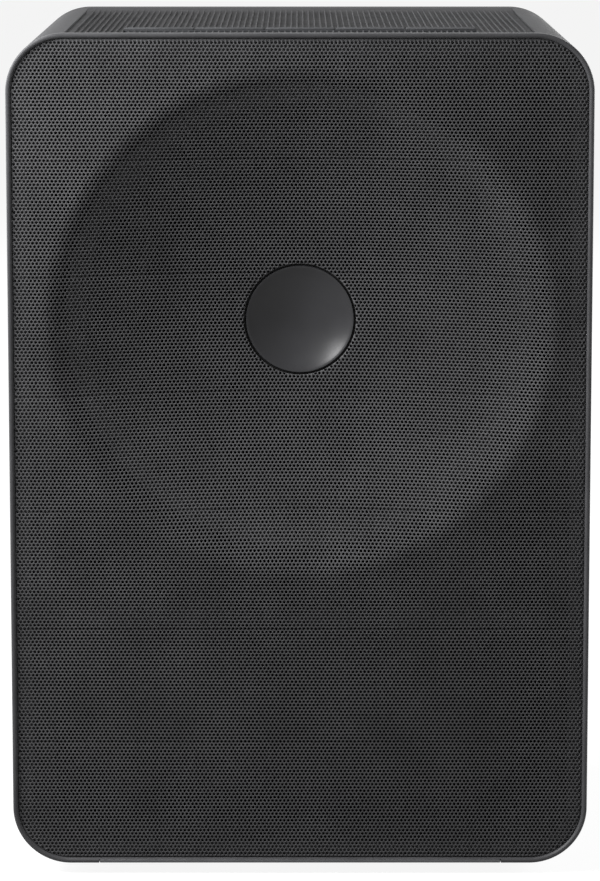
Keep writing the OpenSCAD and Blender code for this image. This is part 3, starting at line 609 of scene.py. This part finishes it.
RIB_PITCH = 2.57
RIB_W = 0.65
RIB_H = 0.9
RIB_SECTION = [(-0.5, 0), (-0.46, 0.45), (-0.34, 0.85), (-0.12, 1),
               (0.12, 1), (0.34, 0.85), (0.46, 0.45), (0.5, 0)]
RIB_END = 0.4                   # length over which a rib drops at its end
RIB_FADE = (150.0, 174.0)       # depths between which the ribs fade into the plain band
RIB_START_TURN = 0.05
RIB_EVEN_FROM = 45
PLAIN_BAND = 182
BAR_GAP = 0.25                  # ribs end this far in front of the bar
BAR_CLEAR = 4.5                 # and begin again this far behind it
BAR_SIDE_GAP = 0.3
VALLEY_Z = BODY_TOP - RIB_H

BAR_SEGMENTS = 5
BAR_NOTCH = 0.9
BAR_EDGE = 0.25
BASE_INSET = 0.1
BASE_EDGE = 0.05

panel_start, panel_end = panel_low[1] - FRONT_Y, panel_high[1] - FRONT_Y
panel_w = panel_high[0] - panel_low[0]
bar_start, bar_end = bar_low[1] - FRONT_Y, bar_high[1] - FRONT_Y


def ribs_across():
    """Stations across the panel: x, the share of the rib's height, and the rib's own middle."""
    count = int((panel_w - RIB_PITCH) / RIB_PITCH)
    across = [(-panel_w / 2, 0, 0)]
    for i in range(count):
        middle = (i - (count - 1) / 2) * RIB_PITCH
        across += [(middle + dx * RIB_W, h, middle) for dx, h in RIB_SECTION]
    across.append((panel_w / 2, 0, 0))
    return across


def ribs_along():
    """Depths along the panel, from its front edge to its rear edge."""
    ribs_stop, ribs_go_on = bar_start - BAR_GAP, bar_end + BAR_CLEAR
    along = [panel_start, panel_start + RIB_START_TURN, panel_start + RIB_END,
             bar_start - BAR_GAP - RIB_END, ribs_stop, ribs_go_on, ribs_go_on + RIB_END]
    along += list(np.linspace(RIB_EVEN_FROM, RIB_FADE[0], 4))
    along += list(np.linspace(*RIB_FADE, 9)[1:]) + [PLAIN_BAND, panel_end]
    return along


def ribbed_panel():
    """A grid over the panel: each rib is a rounded ridge, and the valleys rise to meet the plain
    band at the rear. Ribs stop in front of the bar and behind it."""
    across, along = ribs_across(), ribs_along()
    half_bar = (bar_high[0] - bar_low[0]) / 2 + BAR_SIDE_GAP
    points, faces = [], []
    for depth in along:
        rise = float(smoothstep((depth - RIB_FADE[0]) / (RIB_FADE[1] - RIB_FADE[0])))
        by_bar = bar_start - BAR_SIDE_GAP < depth < bar_end + BAR_CLEAR + 0.1
        for x, h, middle in across:
            hidden = depth <= panel_start or (by_bar and abs(middle) < half_bar)
            ridge = 0.0 if hidden else h * RIB_H
            points.append((x, FRONT_Y + depth, VALLEY_Z + RIB_H * rise + ridge * (1 - rise)))
    n, rows = len(across), len(along)
    for r in range(rows - 1):
        for k in range(n - 1):
            faces.append((r * n + k, r * n + k + 1, (r + 1) * n + k + 1, (r + 1) * n + k))

    # front and rear edges, underside, and the two sides
    under = len(points)
    points += [(x, FRONT_Y + depth, panel_low[2]) for depth in (along[0], along[-1])
               for x, _, _ in across]
    last = (rows - 1) * n
    for k in range(n - 1):
        faces.append((k + 1, k, under + k, under + k + 1))
        faces.append((last + k, last + k + 1, under + n + k + 1, under + n + k))
        faces.append((under + k + 1, under + k, under + n + k, under + n + k + 1))
    left = [r * n for r in range(rows)]
    right = [r * n + n - 1 for r in range(rows)]
    faces.append(tuple(left + [under + n, under]))
    faces.append(tuple(right[::-1] + [under + n - 1, under + 2 * n - 1]))
    return points, faces


def bar_segments():
    """Five low blocks with bevelled upper edges on a common base."""
    points, faces = [], []
    front, rear = FRONT_Y + bar_start, FRONT_Y + bar_end
    low_x, high_x = bar_low[0], bar_high[0]
    step = (high_x - low_x) / BAR_SEGMENTS
    base_z = VALLEY_Z + RIB_H

    def block(x0, x1, z0, z1, edge):
        start = len(points)
        rings = [(0, z0), (0, z1 - edge), (edge * 0.3, z1 - edge * 0.3), (edge, z1)]
        for inset, z in rings:
            points.extend([(x0 + inset, front + inset, z), (x1 - inset, front + inset, z),
                           (x1 - inset, rear - inset, z), (x0 + inset, rear - inset, z)])
        for r in range(len(rings) - 1):
            ring = start + r * 4
            for k in range(4):
                m = (k + 1) % 4
                faces.append((ring + k, ring + m, ring + 4 + m, ring + 4 + k))
        top = start + (len(rings) - 1) * 4
        faces.append((top, top + 1, top + 2, top + 3))
        faces.append((start + 3, start + 2, start + 1, start))

    block(low_x + BASE_INSET, high_x - BASE_INSET, VALLEY_Z, base_z, BASE_EDGE)
    for i in range(BAR_SEGMENTS):
        left = low_x + i * step + (BAR_NOTCH / 2 if i else 0)
        right = low_x + (i + 1) * step - (BAR_NOTCH / 2 if i < BAR_SEGMENTS - 1 else 0)
        block(left, right, base_z, bar_high[2], BAR_EDGE)
    return points, faces


panel_piece = new_piece("top_panel_ribbed", *ribbed_panel(), "top_ribs", sharp=50)
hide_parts("top_panel")

bar_piece = new_piece("top_bar_segments", *bar_segments(), "top_bar", sharp=60)
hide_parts("top_bar")


# ---------------------------------------------------------------- floor and light, in metres

FLOOR_HALF = 60.0
FLOOR_DROP = 0.0002
FLOOR_GREY = 0.16       # what the floor gives back to the lights
FLOOR_LIFT = 0.90       # what the camera sees of it even in shadow
WORLD_LIGHT = 0.02
MIDDLE = (0, 0, MID_Z * MM)

# place, target, width, height, watts
LIGHTS = {
    "key": ((-0.34, -0.30, 0.51), (0, -0.1, 0.24), 0.20, 0.20, 2.4),
    "key_far": ((-0.95, -0.46, 0.95), MIDDLE, 0.4, 0.4, 20),
    "right": ((1.7, 0.3, 0.6), MIDDLE, 1.2, 1.0, 26),
    "left": ((-1.7, 0.3, 0.6), MIDDLE, 1.2, 1.0, 20),
    "back_right": ((1.2, 1.6, 0.9), MIDDLE, 1.0, 1.0, 22),
    "back_left": ((-1.2, 1.6, 0.9), MIDDLE, 1.0, 1.0, 16),
}


def light_path_white(tree):
    """A node that is 1 for the camera, for reflections and for clear surfaces, and 0 otherwise."""
    nodes, links = tree.nodes, tree.links
    path = nodes.new("ShaderNodeLightPath")
    seen = nodes.new("ShaderNodeMath")
    seen.operation = "MAXIMUM"
    seen_too = nodes.new("ShaderNodeMath")
    seen_too.operation = "MAXIMUM"
    links.new(path.outputs["Is Camera Ray"], seen.inputs[0])
    links.new(path.outputs["Is Glossy Ray"], seen.inputs[1])
    links.new(seen.outputs[0], seen_too.inputs[0])
    links.new(path.outputs["Is Transmission Ray"], seen_too.inputs[1])
    return seen_too


def make_floor():
    """A wide pale floor just below the feet: it takes shadows, and looks near white elsewhere."""
    s = FLOOR_HALF
    mesh = bpy.data.meshes.new("floor")
    mesh.from_pydata([(-s, -s, 0), (s, -s, 0), (s, s, 0), (-s, s, 0)], [], [(0, 1, 2, 3)])
    floor = in_scene("floor", mesh)
    floor.location.z = -FLOOR_DROP
    mat = bpy.data.materials.new("floor")
    mat.use_nodes = True
    nodes, links = mat.node_tree.nodes, mat.node_tree.links
    nodes.clear()
    out = nodes.new("ShaderNodeOutputMaterial")
    plain = nodes.new("ShaderNodeBsdfDiffuse")
    plain.inputs["Color"].default_value = (FLOOR_GREY, FLOOR_GREY, FLOOR_GREY, 1)
    glow = nodes.new("ShaderNodeEmission")
    glow.inputs["Color"].default_value = (1, 1, 1, 1)
    seen = light_path_white(mat.node_tree)
    scale = nodes.new("ShaderNodeMath")
    scale.operation = "MULTIPLY"
    scale.inputs[1].default_value = FLOOR_LIFT
    links.new(seen.outputs[0], scale.inputs[0])
    links.new(scale.outputs[0], glow.inputs["Strength"])
    both = nodes.new("ShaderNodeAddShader")
    links.new(plain.outputs[0], both.inputs[0])
    links.new(glow.outputs[0], both.inputs[1])
    links.new(both.outputs[0], out.inputs["Surface"])
    mesh.materials.append(mat)


def make_world():
    """A world that looks white and gives only a little light."""
    world = bpy.data.worlds.new("studio")
    world.use_nodes = True
    bpy.context.scene.world = world
    nodes, links = world.node_tree.nodes, world.node_tree.links
    background = nodes["Background"]
    background.inputs["Color"].default_value = (1, 1, 1, 1)
    seen = light_path_white(world.node_tree)
    level = nodes.new("ShaderNodeMapRange")
    level.inputs["To Min"].default_value = WORLD_LIGHT
    level.inputs["To Max"].default_value = 1.0
    links.new(seen.outputs[0], level.inputs["Value"])
    links.new(level.outputs["Result"], background.inputs["Strength"])


def soft_light(name, place, target, width, height, watts):
    """A rectangular area light that the camera doesn't see."""
    data = bpy.data.lights.new(name, "AREA")
    data.shape = "RECTANGLE"
    data.size, data.size_y = width, height
    data.energy = watts
    light = in_scene(name, data)
    light.location = place
    light.visible_camera = False
    light.rotation_euler = (Vector(target) - Vector(place)).to_track_quat("-Z", "Y").to_euler()


make_floor()
make_world()
for name, settings in LIGHTS.items():
    soft_light(name, *settings)


# ---------------------------------------------------------------- camera, in metres and pixels

IMAGE_W, IMAGE_H = 600, 881
CAMERA_AWAY = 1.54          # in front of the grille
CAMERA_ABOVE = 0.0964       # above the top
FACE_WIDTH = 578.3          # the front's width in the photograph
FACE_MIDDLE_Y = 452.0       # the front's middle, down from the photograph's upper edge
FOCAL_TRIM = 1.006
SHIFT = -0.14
SENSOR = 36.0


def place_camera():
    """A camera at the photograph's distance and height. It is pitched down and slightly shifted, so
    that the front's middle falls where it does in the photograph."""
    data = bpy.data.cameras.new("camera")
    camera = in_scene("camera", data)
    bpy.context.scene.camera = camera
    eye = Vector((0, FRONT_Y * MM - CAMERA_AWAY, BODY_TOP * MM + CAMERA_ABOVE))
    face_middle = Vector((0, FRONT_Y * MM, MID_Z * MM))
    reach = (face_middle - eye).length
    down = math.atan2(eye.z - face_middle.z, CAMERA_AWAY)
    pixels_per_metre = FACE_WIDTH / (BODY_W * MM)
    offset = -SHIFT * IMAGE_H + (FACE_MIDDLE_Y - IMAGE_H / 2)
    pitch = down - math.atan(offset / (pixels_per_metre * CAMERA_AWAY))
    axis_reach = reach * math.cos(down - pitch)
    focal_pixels = pixels_per_metre * axis_reach * FOCAL_TRIM
    camera.location = eye
    camera.rotation_euler = (math.pi / 2 - pitch, 0, 0)
    data.sensor_width = SENSOR
    data.lens = focal_pixels * SENSOR / IMAGE_H
    data.shift_y = SHIFT
    data.clip_end = 200


place_camera()
bpy.context.scene.view_settings.view_transform = "Standard"
